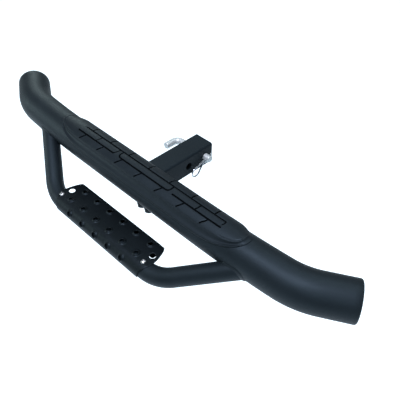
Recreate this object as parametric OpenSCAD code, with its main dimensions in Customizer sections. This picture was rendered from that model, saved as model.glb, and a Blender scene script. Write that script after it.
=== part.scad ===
// Hitch receiver step: a bent round step tube with a moulded tread pad, a
// square shank for a two-inch receiver, and a lower loop carrying a punched
// sheet-metal tray. Millimetres.
// Origin: centre of the free pin hole, on the shank's axis.
// +X along the step tube, +Y along the shank to the vehicle, +Z up.

/* [Step tube] */
// Outside diameter of the step tube
tube_od = 76.2; // [75:0.1:77]
// Wall of the step tube
tube_wall = 2.4; // [2:0.1:3.5]
// Half length of the straight middle
tube_half = 176; // [170:1:180]
// Length of the straight piece after each end bend
tube_tail = 58.5; // [40:0.5:70]
// Radius of each end bend, at the centreline
end_bend_r = 151.5; // [140:0.5:170]
// Angle of each end bend
end_bend_a = 25.6487; // [20:0.0001:30]

/* [Shank] */
// Outside width of the square shank
shank_w = 50.8; // [50:0.1:51]
// Wall of the shank
shank_wall = 6.35; // [5:0.05:7]
// Free end of the shank, measured from the origin
shank_end = 71.5; // [70:0.5:90]
// Radius of the pin holes
pin_hole_r = 8.33; // [8.2:0.01:8.6]
// Distance from the free hole to the pinned hole
pin_pitch = 50; // [48:0.5:50]

/* [Hitch pin and clip] */
// Diameter of the hitch pin
pin_d = 15.875; // [15.5:0.005:15.9]
// Wire diameter of the clip
wire_d = 3.6; // [3:0.1:3.8]
// Radius of the clip's ring, at the wire's centre
ring_r = 11; // [10:0.5:12]

/* [Lower loop and tray] */
// Outside diameter of the loop tube
loop_od = 38.1; // [37.5:0.1:38.5]
// Wall of the loop tube
loop_wall = 2; // [1.5:0.1:3]
// Slope of the loop's plane below the horizontal
loop_tilt = 39; // [37:0.5:41]
// Thickness of the tray's sheet
sheet = 2; // [1.5:0.1:2.5]
// Radius of the punched holes in the tray
punch_r = 5; // [4:0.1:5.5]
// Height of the raised collar round each punched hole
collar_h = 2.2; // [1:0.1:3]

/* [Tread pad] */
// Height of the pad's raised field over the tube
pad_t = 4.7; // [4:0.1:5]
// Height of the pad's outer flange over the tube
pad_flange_t = 2.5; // [2:0.1:3]
// Depth of the grooves in the raised field
groove_d = 1.5; // [1:0.1:2]
// Middle of the pad along the tube
pad_mid = 23; // [0:1:25]

/* [Hidden] */
ty = -118;                 // step tube axis, y
tz = 16.5;                 // step tube axis, z
R = tube_od / 2;
Ri = R - tube_wall;
sweep_r = 2500;            // slow sweep between the middle and each end bend
sweep_a = 4.223;
half = shank_w / 2;
pin_y = pin_pitch;
pr = pin_d / 2;
wr = wire_d / 2;
clip_x = 31;
clip_a = 17;               // slope of the clip's straight leg
loop_r = loop_od / 2;
loop_w = 133.2;            // middle of the loop's front run, down its slope
loop_run = 129.1;          // half length of the loop's straight front
loop_bend_r = 96;
loop_a = 40.3757;          // angle of each of its bends
loop_y = ty - 0.3 - loop_w * cos(loop_tilt);
loop_z = tz + 2.5 - loop_w * sin(loop_tilt);
loop_t = loop_bend_r * tan(loop_a / 2);
lap = 0.05;                // the tray stands this much off the loop tube
plate_z = loop_z + loop_r + lap; // underside of the tray's flat
screw_xs = [-135, 129];
bolt_y = ty - 5.5;
bolt_xs = [11, 33];
block_z = tz - 49.9;       // underside of the saddle block
clip_off = [-200, -120, -40, 40, 120, 200];
e = 0.01;

// ---------------------------------------------------------------- helpers
// rod or bore along X
module xrod(r, x1, x2, f = 96) {
    translate([x1, 0, 0]) rotate([0, 90, 0]) cylinder(r = r, h = x2 - x1, $fn = f);
}

// hexagonal prism along Z, flats facing +X and -X
module hex(af, h) {
    rotate([0, 0, 30]) cylinder(r = af / 2 / cos(30), h = h, $fn = 6);
}

// square with rounded corners, as a point list
function round_sq(w, r, n = 8) = [for (q = [0:3]) for (i = [0:n])
    let (a = q * 90 + i * 90 / n, s = w / 2 - r,
         cx = (q == 0 || q == 3) ? s : -s, cy = (q < 2) ? s : -s)
    [cx + r * cos(a), cy + r * sin(a)]];

// shift and turn in the plane, each split so that abutting pieces meet exactly
function sig(x) = x == 0 ? 0 : let (d = pow(10, 5 - floor(log(abs(x))))) round(x * d) / d;
module shift(x, y) {
    x1 = x - sig(x);
    y1 = y - sig(y);
    translate([sig(x), sig(y), 0]) translate([sig(x1), sig(y1), 0])
        translate([x1 - sig(x1), y1 - sig(y1), 0]) children();
}
module turn(a) {
    rotate([0, 0, a]) rotate([0, 0, a - atan2(sig(sin(a)), sig(cos(a)))]) children();
}

// the start and the end of an end bend
module bend_start() {
    shift(tube_half + sweep_r * sin(sweep_a), sweep_r * (1 - cos(sweep_a)))
        turn(sweep_a) children();
}
module bend_end() {
    shift(end_bend_r * sin(end_bend_a), end_bend_r * (1 - cos(end_bend_a)))
        turn(end_bend_a) children();
}

// one half of the step tube's path, filled with a given radius, tube at origin
module half_path(r, tail) {
    xrod(r, 0, tube_half);
    translate([tube_half, sweep_r, 0])
        rotate_extrude(angle = sweep_a, start = 270, $fn = 1440)
            translate([sweep_r, 0]) circle(r = r, $fn = 96);
    bend_start() {
        translate([0, end_bend_r, 0])
            rotate_extrude(angle = end_bend_a, start = 270, $fn = 360)
                translate([end_bend_r, 0]) circle(r = r, $fn = 96);
        bend_end() xrod(r, 0, tail);
    }
}

module full_path(r, tail) {
    half_path(r, tail);
    mirror([1, 0, 0]) half_path(r, tail);
}

// puts a shape drawn on +X at the right-hand tube end
module at_tube_end() {
    translate([0, ty, tz]) bend_start() bend_end()
        translate([tube_tail, 0, 0]) children();
}

// ---------------------------------------------------------------- step tube
module main_tube() color([0.09, 0.10, 0.11]) {
    translate([0, ty, tz]) difference() {
        full_path(R, tube_tail);
        full_path(Ri, tube_tail + 1);
        for (x = clip_off) translate([pad_mid + x, clip_y(pad_mid + x), 20])
            cylinder(r = 4, h = 30, $fn = 32);
        for (x = bolt_xs) translate([x, bolt_y - ty, -50])
            cylinder(r = 6.5, h = 30, $fn = 48);
    }
}

// sideways shift of the tube's centreline at x
function clip_y(x) = abs(x) > tube_half
    ? sweep_r - sqrt(sweep_r * sweep_r - (abs(x) - tube_half) * (abs(x) - tube_half)) : 0;

// press-in cap: domed flange and a hollow plug
module end_cap() {
    rotate([0, 90, 0]) rotate_extrude($fn = 96)
        polygon([[0, 2.6], [30, 2.6], [34, 2.4], [36.2, 1.9], [37.4, 1], [37.8, 0],
                 [35.5, 0], [35.5, -10], [34.6, -14], [32.6, -14], [32.6, 0], [0, 0]]);
}

module end_cap_right() color([0.07, 0.07, 0.08]) at_tube_end() end_cap();
module end_cap_left() color([0.07, 0.07, 0.08])
    mirror([1, 0, 0]) at_tube_end() end_cap();

// ---------------------------------------------------------------- tread pad
// outline of the pad seen from above: long elliptical ends
function pad_edge(hl, a, wf, wb, p) = [for (q = [0:3]) for (i = [0:12])
    let (t = q * 90 + i * 90 / 12, c = cos(t), s = sin(t),
         ex = (abs(c) > 0.0001 ? pow(abs(c), p) * sign(c) : 0),
         ey = (abs(s) > 0.0001 ? pow(abs(s), p) * sign(s) : 0),
         x = pad_mid + ex * a + ((q == 0 || q == 3) ? hl - a : a - hl))
    [x, (ey > 0 ? wb : wf) * ey + clip_y(x)]];

// shell of the pad between two radii, following the tube
module pad_shell(r2) {
    difference() {
        union() {
            xrod(r2, -tube_half, tube_half);
            for (m = [0, 1]) mirror([m, 0, 0]) translate([tube_half, sweep_r, 0])
                rotate_extrude(angle = 3, start = 270, $fn = 1440)
                    translate([sweep_r, 0]) circle(r = r2, $fn = 96);
        }
        xrod(R, -tube_half, tube_half);
        for (m = [0, 1]) mirror([m, 0, 0]) translate([tube_half, sweep_r, 0])
            rotate_extrude(angle = 3.1, start = 270, $fn = 1440)
                translate([sweep_r, 0]) circle(r = R, $fn = 96);
    }
}

// groove running along the tube at angle th, and joint running round it
module long_groove(th, x1, x2) {
    rg = R + pad_t - groove_d;
    translate([x1, 0, 0]) rotate([0, 90, 0])
        rotate_extrude(angle = 3, start = 180 + th - 1.5, $fn = 96)
            translate([rg, 0]) square([4, x2 - x1]);
}
module joint(x, th1, th2, w = 2.2) {
    rg = R + pad_t - groove_d;
    translate([x - w / 2, clip_y(x), 0]) rotate([0, 90, 0])
        rotate_extrude(angle = th2 - th1, start = 180 + th1, $fn = 96)
            translate([rg, 0]) square([4, w]);
}

module step_pad() color([0.10, 0.11, 0.12]) {
    translate([0, ty, tz]) difference() {
        union() {
            intersection() {
                pad_shell(R + pad_flange_t);
                linear_extrude(height = 60) polygon(pad_edge(267, 105, 35.6, 35.6, 1));
            }
            intersection() {
                pad_shell(R + pad_t);
                linear_extrude(height = 60) polygon(pad_edge(257, 62, 26.4, 31.5, 0.85));
            }
        }
        // long grooves: back, then front with the bare plate between its halves
        long_groove(-6, pad_mid - 192, pad_mid + 208);
        long_groove(16, pad_mid - 198, pad_mid - 84);
        long_groove(16, pad_mid - 68, pad_mid + 78);
        long_groove(16, pad_mid + 90, pad_mid + 208);
        // joints of the back and front rows, pitch 60
        for (k = [-3:3]) {
            joint(pad_mid + 4 + 60 * k, -38, -6);
            joint(pad_mid + 2 + 60 * k, 16, 35);
        }
        // joints of the middle row and the two ends of the plate
        joint(pad_mid - 142, -6, 16);
        joint(pad_mid - 82, -6, 16);
        joint(pad_mid + 78, -6, 16);
        joint(pad_mid + 148, -6, 16);
        // seats of the press-in clips
        for (x = clip_off) translate([pad_mid + x, clip_y(pad_mid + x), R - 3])
            cylinder(r = 6.3, h = 4.7, $fn = 32);
    }
}

// ribbed press-in stud: head held in the pad, stem through the tube's wall
module pad_clips() color([0.85, 0.85, 0.83]) {
    for (x = clip_off)
        translate([pad_mid + x, ty + clip_y(pad_mid + x), tz + R])
            rotate_extrude($fn = 32)
                polygon([[0, 1.5], [6, 1.5], [6, 0.3], [3.7, 0.05], [3.7, -2.8],
                         [4.6, -3.6], [3, -5.6], [4.4, -6.4], [2.8, -8.4],
                         [4.2, -9.2], [1.8, -12.5], [0, -12.5]]);
}

// ---------------------------------------------------------------- shank
module shank_solid(w, r, y1, y2) {
    translate([0, y2, 0]) rotate([90, 0, 0])
        linear_extrude(height = y2 - y1) polygon(round_sq(w, r));
}

module hitch_shank() color([0.09, 0.10, 0.11]) {
    difference() {
        shank_solid(shank_w, 5, ty - 14, shank_end);
        shank_solid(shank_w - 2 * shank_wall, 1.6, ty - 20, shank_end + 1);
        translate([0, ty, tz]) xrod(R, -40, 40);
        translate([0, 0, 0]) xrod(pin_hole_r, -40, 40);
        translate([0, pin_y, 0]) xrod(pin_hole_r, -40, 40);
        translate([bolt_xs[0], bolt_y, -half - 5]) cylinder(r = 6.5, h = 20, $fn = 48);
    }
}

// ---------------------------------------------------------------- pin, clip
module hitch_pin() color([0.75, 0.76, 0.78]) {
    br = 14;
    difference() {
        translate([0, pin_y, 0]) union() {
            xrod(pr, -49, 38.5);
            // rounded nose with a shallow neck for the clip
            translate([38.5, 0, 0]) rotate([0, 90, 0])
                cylinder(r1 = pr, r2 = pr - 2, h = 3, $fn = 96);
            translate([-49, -br, 0]) rotate([0, 0, 90])
                rotate_extrude(angle = 90, $fn = 180) translate([br, 0]) circle(r = pr, $fn = 96);
            translate([-49 - br, -br - 20, 0]) rotate([-90, 0, 0])
                cylinder(r = pr, h = 20, $fn = 96);
            translate([-49 - br, -br - 22, 0]) rotate([-90, 0, 0])
                cylinder(r1 = pr - 2, r2 = pr, h = 2, $fn = 96);
        }
        // cross hole for the clip's straight leg
        translate([clip_x, pin_y, 0]) rotate([clip_a, 0, 0]) rotate([90, 0, 0])
            cylinder(r = wr + 0.35, h = 40, center = true, $fn = 32);
    }
}

// spring clip, drawn flat: u runs out along the straight leg, w down from it
rc = [38.9, ring_r];                     // ring centre
hug = pr + wr + 0.36;                    // wavy leg's radius about the pin
ha = 130;                                // heading where the hug begins
pb = 5;                                  // pinch bend radius
pc = [hug * sin(ha) + pb * sin(ha), -hug * cos(ha) - pb * cos(ha)];
cd = sqrt(pow(rc[0] - pc[0], 2) + pow(rc[1] - pc[1], 2));
ca = atan2(pc[1] - rc[1], pc[0] - rc[0]);
le = (ca < 0 ? ca + 360 : ca) + asin((ring_r + pb) / cd);  // heading off the ring
ll = sqrt(cd * cd - pow(ring_r + pb, 2));
p1 = [rc[0] + ring_r * sin(le), rc[1] - ring_r * cos(le)];
fb = 9;                                  // flare bend at the tip
fa = 158;
fc = [0, hug + fb];
p2 = [fc[0] - fb * sin(fa), fc[1] + fb * cos(fa)];

// arc of wire about c, from start angle through a sweep
module warc(c, r, a0, sw, w = wr) {
    translate([c[0], c[1], 0])
        rotate_extrude(angle = sw, start = a0, $fn = 144)
            translate([r, 0]) circle(r = w, $fn = 48);
}
// rods reach 0.2 mm into their neighbours, a hair thinner
module wrod(p, a, l0, l1) {
    translate([p[0], p[1], 0]) rotate([0, 0, a]) rotate([0, 90, 0])
        translate([0, 0, l0]) cylinder(r = wr - 0.03, h = l1 - l0, $fn = 48);
}

module pin_clip() color([0.83, 0.84, 0.86]) {
    translate([clip_x, pin_y, 0]) rotate([clip_a, 0, 0])
        multmatrix([[0, 0, 1, 0], [-1, 0, 0, 0], [0, -1, 0, 0], [0, 0, 0, 1]]) {
            wrod([-14, 0], 0, 0, 14.2 + rc[0]);
            warc(rc, ring_r, -90, le);
            wrod(p1, le, -0.2, ll + 0.2);
            warc(pc, pb, ha + 90, le - ha);
            warc([0, 0], hug, ha - 92, 182 - ha, wr - 0.03);
            warc(fc, fb, fa + 90, 181.5 - fa);
            wrod(p2, fa, -0.2, 7);
        }
}

// ---------------------------------------------------------------- loop
module loop_half(r, back) {
    xrod(r, 0, loop_run, 72);
    translate([loop_run, -loop_bend_r, 0])
        rotate_extrude(angle = loop_a, start = 90 - loop_a, $fn = 360)
            translate([loop_bend_r, 0]) circle(r = r, $fn = 72);
    shift(loop_run + loop_bend_r * sin(loop_a), loop_bend_r * (cos(loop_a) - 1))
        turn(-loop_a) xrod(r, 0, loop_w / sin(loop_a) - loop_t + back, 72);
}

// the loop's path, laid in its sloping plane
module loop_path(r, back = 0) {
    translate([0, ty - 0.3, tz + 2.5]) rotate([180 + loop_tilt, 0, 0])
        translate([0, loop_w, 0]) for (m = [0, 1]) mirror([m, 0, 0]) loop_half(r, back);
}

module loop_tube() color([0.09, 0.10, 0.11]) {
    difference() {
        loop_path(loop_r);
        loop_path(loop_r - loop_wall, 5);
        translate([0, ty, tz]) full_path(R, 1);
        for (x = screw_xs) translate([x, loop_y, loop_z + 5])
            cylinder(r = 4.6, h = 20, $fn = 32);
    }
}

// ---------------------------------------------------------------- tray
back_y = ty - 50.7;
flange_h = 22;             // depth of the back flange
flange_lip = 24;           // width of the lip at its foot
row_a = ty - 64.5;
row_b = ty - 99.5;

module collar(r) {
    cylinder(r1 = r + 2, r2 = r + 1, h = collar_h, $fn = 32);
}

// places children along the normal of the rounded front, a degrees from the top
module on_front(x, a) {
    translate([x, loop_y, loop_z]) rotate([a, 0, 0])
        translate([0, 0, loop_r + lap]) children();
}

module step_tray() color([0.08, 0.09, 0.10]) {
    difference() {
        union() {
            // flat with bulged sides
            translate([0, 0, plate_z]) linear_extrude(height = sheet)
                polygon([[-131, back_y], [131, back_y], [137.2, ty - 61.6],
                         [140.9, ty - 72], [143.5, ty - 80.7], [145, ty - 90.5],
                         [144.5, loop_y], [-144.5, loop_y],
                         [-145, ty - 90.5], [-143.5, ty - 80.7], [-140.9, ty - 72],
                         [-137.2, ty - 61.6]]);
            // flange down from the back edge, returned forward at its foot
            translate([-130, back_y - sheet, plate_z - flange_h])
                cube([250, sheet, flange_h + 0.5]);
            translate([-130, back_y - flange_lip, plate_z - flange_h])
                cube([250, flange_lip, sheet]);
            // front wrapped over the loop tube
            intersection() {
                translate([-144.5, loop_y, loop_z]) rotate([0, 90, 0])
                    rotate_extrude(angle = 132, start = 180, $fn = 180)
                        translate([loop_r + lap, 0]) square([sheet, 289]);
                translate([0, ty - 80, 0]) rotate([90, 0, 0]) linear_extrude(height = 60)
                    polygon([[-144.5, plate_z + 3], [144.5, plate_z + 3], [142.5, plate_z + 1.6],
                             [138.2, plate_z - 2.9], [134.5, plate_z - 7.9], [132, plate_z - 12],
                             [132, plate_z - 40], [-132, plate_z - 40], [-132, plate_z - 12],
                             [-134.5, plate_z - 7.9], [-138.2, plate_z - 2.9], [-142.5, plate_z + 1.6]]);
            }
            for (i = [-2.5:1:2.5]) {
                translate([42 * i, row_a, plate_z + sheet - e]) collar(punch_r);
                translate([42 * i - 1.5, row_b, plate_z + sheet - e]) collar(punch_r);
            }
            for (i = [-2:2]) on_front(42 * i - 0.8, 62) translate([0, 0, sheet - 0.4])
                cylinder(r1 = punch_r + 2, r2 = punch_r + 1, h = collar_h, $fn = 32);
        }
        for (i = [-2.5:1:2.5]) {
            translate([42 * i, row_a, plate_z - 5]) cylinder(r = punch_r, h = 20, $fn = 32);
            translate([42 * i - 1.5, row_b, plate_z - 5]) cylinder(r = punch_r, h = 20, $fn = 32);
        }
        for (i = [-2:2]) on_front(42 * i - 0.8, 62) translate([0, 0, -4])
            cylinder(r = punch_r, h = 14, $fn = 32);
        for (s = [-1, 1])
            translate([s * 130, ty - 82, plate_z - 5]) cylinder(r = 6.8, h = 20, $fn = 48);
        for (x = screw_xs)
            translate([x, loop_y, plate_z - 5]) cylinder(r = 3.3, h = 20, $fn = 32);
        loop_path(loop_r + 0.01);
    }
}

// button-head screws with a hexagonal socket
module tray_screws() color([0.78, 0.79, 0.80]) {
    for (x = screw_xs) translate([x, loop_y, plate_z + sheet]) difference() {
        rotate_extrude($fn = 48)
            polygon([[0, 3.3], [2.6, 3.2], [4, 2.6], [4.9, 1.5], [5.25, 0],
                     [3, 0], [3, -14], [2.4, -15], [0, -15]]);
        translate([0, 0, 1.2]) hex(4, 5);
    }
}

// rivet nuts set in the loop tube's wall
module tray_rivet_nuts() color([0.72, 0.70, 0.62]) {
    for (x = screw_xs) translate([x, loop_y, plate_z]) rotate_extrude($fn = 48)
        polygon([[3.05, -0.4], [4.5, -0.4], [4.5, -2.6], [5.7, -3.4], [5.7, -4.6],
                 [4.5, -5.6], [4.5, -12], [3.05, -12]]);
}

// ---------------------------------------------------------------- saddle
// block that fills in round the shank's tongue, under the step tube
module saddle_block() color([0.08, 0.09, 0.10]) {
    difference() {
        translate([-20, ty - 11, block_z]) cube([65, 39, 18]);
        translate([0, ty, tz]) xrod(R, -60, 60);
        shank_solid(shank_w, 5, ty - 14, shank_end);
        for (x = bolt_xs) translate([x, bolt_y, block_z - 1])
            cylinder(r = 6.5, h = 30, $fn = 48);
    }
}

module saddle_washers() color([0.20, 0.21, 0.22]) {
    for (x = bolt_xs) translate([x, bolt_y, block_z - 2]) difference() {
        cylinder(r = 10, h = 2, $fn = 48);
        translate([0, 0, -1]) cylinder(r = 6.5, h = 4, $fn = 48);
    }
}

module saddle_bolts() color([0.16, 0.17, 0.18]) {
    for (x = bolt_xs) translate([x, bolt_y, block_z - 2]) {
        translate([0, 0, -7.5]) intersection() {
            hex(18, 7.5);
            rotate_extrude($fn = 48) polygon([[0, 0], [8.8, 0], [10.6, 1.2], [10.6, 7.5], [0, 7.5]]);
        }
        translate([0, 0, -2]) cylinder(r = 6, h = 30, $fn = 48);
    }
}

module saddle_nuts() color([0.16, 0.17, 0.18]) {
    for (x = bolt_xs) difference() {
        intersection() {
            translate([x, bolt_y, tz - 37]) hex(19, 12);
            translate([0, ty, tz]) xrod(Ri, -60, 60);
        }
        translate([x, bolt_y, tz - 45]) cylinder(r = 6.05, h = 30, $fn = 48);
    }
}

main_tube();
end_cap_left();
end_cap_right();
step_pad();
pad_clips();
hitch_shank();
hitch_pin();
pin_clip();
loop_tube();
step_tray();
tray_screws();
tray_rivet_nuts();
saddle_block();
saddle_bolts();
saddle_washers();
saddle_nuts();
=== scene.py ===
import math

import bpy
import numpy as np
from mathutils import Matrix, Vector
from mathutils.geometry import delaunay_2d_cdt


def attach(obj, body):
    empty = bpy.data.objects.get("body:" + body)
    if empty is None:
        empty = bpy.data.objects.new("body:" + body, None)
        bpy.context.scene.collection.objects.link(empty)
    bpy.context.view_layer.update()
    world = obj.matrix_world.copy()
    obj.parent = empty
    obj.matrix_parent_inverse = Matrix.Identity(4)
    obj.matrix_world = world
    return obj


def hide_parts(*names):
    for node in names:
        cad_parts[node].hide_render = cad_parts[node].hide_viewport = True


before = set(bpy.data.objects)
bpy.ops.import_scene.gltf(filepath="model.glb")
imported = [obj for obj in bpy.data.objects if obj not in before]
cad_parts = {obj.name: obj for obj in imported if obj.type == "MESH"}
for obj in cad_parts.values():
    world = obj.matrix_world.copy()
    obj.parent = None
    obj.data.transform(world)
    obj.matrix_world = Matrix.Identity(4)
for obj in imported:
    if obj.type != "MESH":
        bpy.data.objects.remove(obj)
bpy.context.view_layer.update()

# ------------------------------------------------------------------ numbers
# Millimetres, in the part's frame: origin at the free pin hole, +X along the
# step tube, +Y along the shank, +Z up.
TY, TZ = -118.0, 16.5
R, WALL = 38.1, 2.4
HALF, SWEEP_R, SWEEP_A = 176.0, 2500.0, 4.223
BEND_R, BEND_A, TAIL = 151.5, 25.6487, 58.5
LOOP_R, LOOP_WALL, TILT = 19.05, 2.0, 39.0
LOOP_W, LOOP_RUN, LOOP_A, LOOP_BEND = 133.2, 129.1, 40.3757, 96.0
SHEET = 2.0
PIN_R, WIRE_R = 7.9375, 1.8
rad = math.radians

L1 = SWEEP_R * rad(SWEEP_A)
L2 = BEND_R * rad(BEND_A)
S_END = HALF + L1 + L2 + TAIL


def path(s):
    """Centre (x, y), heading in radians, of the step tube at arc length s."""
    s = np.asarray(s, float)
    a = np.abs(s)
    sg = np.where(s < 0, -1.0, 1.0)
    h1, h2 = rad(SWEEP_A), rad(SWEEP_A + BEND_A)
    t1 = np.clip(a - HALF, 0, L1) / SWEEP_R
    x = np.minimum(a, HALF) + SWEEP_R * np.sin(t1)
    y = SWEEP_R * (1 - np.cos(t1))
    t2 = np.clip(a - HALF - L1, 0, L2) / BEND_R
    x = x + BEND_R * (np.sin(h1 + t2) - math.sin(h1))
    y = y + BEND_R * (math.cos(h1) - np.cos(h1 + t2))
    t3 = np.maximum(a - HALF - L1 - L2, 0)
    x = x + t3 * math.cos(h2)
    y = y + t3 * math.sin(h2)
    head = t1 + t2
    return sg * x, TY + y, sg * head


def on_tube(s, th, r):
    """Points at radius r about the step tube; th in degrees, + to the front."""
    x, y, h = path(s)
    t = np.radians(th)
    side = -r * np.sin(t)
    return np.stack([x - side * np.sin(h), y + side * np.cos(h), TZ + r * np.cos(t)], -1)


# ------------------------------------------------------------------ meshes
def make(name, verts, faces, body, mat, sharp=40.0, replaces=()):
    me = bpy.data.meshes.new(name)
    me.from_pydata((np.asarray(verts, float) * 0.001).tolist(), [], faces)
    me.validate()
    me.update()
    for p in me.polygons:
        p.use_smooth = True
    me.set_sharp_from_angle(angle=rad(sharp))
    me.materials.append(mat)
    ob = bpy.data.objects.new(name, me)
    bpy.context.scene.collection.objects.link(ob)
    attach(ob, body)
    if replaces:
        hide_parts(*replaces)
    return ob


def ring_faces(nr, nc, off=0, flip=False, closed_r=False):
    """Quads of a grid of nr rings with nc points each, closed round the ring."""
    out = []
    for i in range(nr if closed_r else nr - 1):
        i2 = (i + 1) % nr
        for j in range(nc):
            j2 = (j + 1) % nc
            q = (off + i * nc + j, off + i * nc + j2, off + i2 * nc + j2, off + i2 * nc + j)
            out.append(q[::-1] if flip else q)
    return out


def rings_closed(rings):
    """Vertices and faces of a closed skin made of rings, first joined to last."""
    v = np.concatenate(rings)
    return v, ring_faces(len(rings), len(rings[0]), 0, True, True)


def rings_capped(rings):
    """A skin of rings with a fan at each end."""
    n = len(rings[0])
    v = np.concatenate(rings + [rings[0].mean(0)[None], rings[-1].mean(0)[None]])
    f = ring_faces(len(rings), n, 0, True)
    a, b = len(v) - 2, len(v) - 1
    e = (len(rings) - 1) * n
    for j in range(n):
        j2 = (j + 1) % n
        f.append((a, j, j2))
        f.append((b, e + j2, e + j))
    return v, f


def ring_at(c, t, up, r, n):
    """Circle of n points of radius r about c, across direction t."""
    t = t / np.linalg.norm(t)
    a = up - (up @ t) * t
    a /= np.linalg.norm(a)
    b = np.cross(t, a)
    g = np.arange(n) * 2 * np.pi / n
    return c + r * (np.cos(g)[:, None] * a + np.sin(g)[:, None] * b)


def lathe(profile, n, origin, axis, ref=(0, 0, 1)):
    """Closed solid of revolution from (radius, height) pairs; ends on the axis."""
    origin, axis = np.array(origin, float), np.array(axis, float)
    axis /= np.linalg.norm(axis)
    ref = np.array(ref, float)
    if abs(ref @ axis) > 0.9:
        ref = np.array([1.0, 0, 0])
    rings = [ring_at(origin + axis * h, axis, ref, max(r, 1e-4), n) for r, h in profile]
    return rings_capped(rings)


def clean(poly, tol=1e-6):
    out = [poly[0]]
    for p in poly[1:]:
        if np.linalg.norm(p - out[-1]) > tol:
            out.append(p)
    return np.array(out)


def poly_dist(p, line, closed=True):
    """Distance from points p to a polyline."""
    a = line
    b = np.roll(line, -1, 0) if closed else line[1:]
    a = a if closed else line[:-1]
    ab = b - a
    l2 = (ab ** 2).sum(1)
    best = np.full(len(p), 1e9)
    for k in range(0, len(p), 4000):
        q = p[k:k + 4000]
        t = np.clip(((q[:, None] - a) * ab).sum(2) / l2, 0, 1)
        d = np.linalg.norm(q[:, None] - (a + t[..., None] * ab), axis=2)
        best[k:k + 4000] = d.min(1)
    return best


def inside(p, poly):
    x, y = p[:, 0], p[:, 1]
    res = np.zeros(len(p), bool)
    n = len(poly)
    for i in range(n):
        x1, y1 = poly[i]
        x2, y2 = poly[(i + 1) % n]
        c = (y1 > y) != (y2 > y)
        if c.any():
            res[c] ^= x[c] < (x2 - x1) * (y[c] - y1) / (y2 - y1) + x1
    return res


def triangulate(points, loops, lines=()):
    """Constrained triangulation. loops and lines are lists of index lists."""
    edges = []
    for lp in loops:
        edges += [(lp[i], lp[(i + 1) % len(lp)]) for i in range(len(lp))]
    for ln in lines:
        edges += [(ln[i], ln[i + 1]) for i in range(len(ln) - 1)]
    vs, _, fs, _, _, _ = delaunay_2d_cdt([Vector(p) for p in points], edges, [], 0, 1e-5)
    v = np.array([(a.x, a.y) for a in vs])
    f = np.array([list(t) for t in fs if len(t) == 3])
    a, b, c = v[f[:, 0]], v[f[:, 1]], v[f[:, 2]]
    area = (b - a)[:, 0] * (c - a)[:, 1] - (b - a)[:, 1] * (c - a)[:, 0]
    f[area < 0] = f[area < 0][:, ::-1]
    return v, f[np.abs(area) > 1e-9]


def slab(v2, f, top, bottom):
    """Closed solid between two maps of the same flat triangulation."""
    used = np.unique(f)
    remap = np.full(len(v2), -1)
    remap[used] = np.arange(len(used))
    f = remap[f]
    v2 = v2[used]
    n = len(v2)
    vt, vb = top(v2), bottom(v2)
    faces = [tuple(int(i) for i in t) for t in f] + [tuple(int(i) + n for i in t[::-1]) for t in f]
    count = {}
    for t in f:
        for i in range(3):
            a, b = int(t[i]), int(t[(i + 1) % 3])
            count[(a, b)] = count.get((a, b), 0) + 1
    for (a, b) in list(count):
        if (b, a) not in count:
            faces.append((b, a, a + n, b + n))
    return np.concatenate([vt, vb]), faces


# ------------------------------------------------------------------ materials
def node_mat(name):
    m = bpy.data.materials.new(name)
    m.use_nodes = True
    nt = m.node_tree
    bsdf = nt.nodes["Principled BSDF"]
    tc = nt.nodes.new("ShaderNodeTexCoord")
    return m, nt, bsdf, tc.outputs["Object"]


def noise(nt, vec, scale, detail=3.0, rough=0.55):
    n = nt.nodes.new("ShaderNodeTexNoise")
    n.inputs["Scale"].default_value = scale
    n.inputs["Detail"].default_value = detail
    n.inputs["Roughness"].default_value = rough
    nt.links.new(vec, n.inputs["Vector"])
    return n.outputs["Fac"]


def ramp(nt, fac, stops):
    r = nt.nodes.new("ShaderNodeValToRGB")
    el = r.color_ramp.elements
    while len(el) < len(stops):
        el.new(0.5)
    for e, (p, c) in zip(el, stops):
        e.position = p
        e.color = (*c, 1) if len(c) == 3 else c
    nt.links.new(fac, r.inputs["Fac"])
    return r.outputs["Color"]


def remap(nt, fac, lo, hi, a=0.3, b=0.7):
    m = nt.nodes.new("ShaderNodeMapRange")
    m.inputs["From Min"].default_value = a
    m.inputs["From Max"].default_value = b
    m.inputs["To Min"].default_value = lo
    m.inputs["To Max"].default_value = hi
    nt.links.new(fac, m.inputs["Value"])
    return m.outputs["Result"]


def math_node(nt, op, a, b):
    m = nt.nodes.new("ShaderNodeMath")
    m.operation = op
    for i, x in enumerate((a, b)):
        if isinstance(x, (int, float)):
            m.inputs[i].default_value = x
        else:
            nt.links.new(x, m.inputs[i])
    return m.outputs[0]


def bump(nt, bsdf, height, strength, dist):
    b = nt.nodes.new("ShaderNodeBump")
    b.inputs["Strength"].default_value = strength
    b.inputs["Distance"].default_value = dist
    nt.links.new(height, b.inputs["Height"])
    nt.links.new(b.outputs["Normal"], bsdf.inputs["Normal"])


def coat(name, dark, light, rough, grain, spec=0.5, depth=0.00025, strength=0.5, tint=(0.62, 0.86, 1.0)):
    """Fine textured powder coat: blotchy colour, orange-peel grain, uneven gloss."""
    m, nt, bsdf, vec = node_mat(name)
    big = noise(nt, vec, 14, 4)
    fine = noise(nt, vec, grain, 2, 0.6)
    speck = noise(nt, vec, grain * 2.6, 1, 0.5)
    col = ramp(nt, math_node(nt, "ADD", math_node(nt, "MULTIPLY", big, 0.5),
                             math_node(nt, "MULTIPLY", fine, 0.5)), [(0.35, dark), (0.65, light)])
    nt.links.new(col, bsdf.inputs["Base Color"])
    r = math_node(nt, "ADD", remap(nt, big, -0.04, 0.05), remap(nt, fine, rough - 0.06, rough + 0.06))
    nt.links.new(r, bsdf.inputs["Roughness"])
    bsdf.inputs["Specular IOR Level"].default_value = spec
    bsdf.inputs["Specular Tint"].default_value = (*tint, 1)
    h = math_node(nt, "ADD", fine, math_node(nt, "MULTIPLY", speck, 0.45))
    bump(nt, bsdf, h, strength, depth)
    return m


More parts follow.
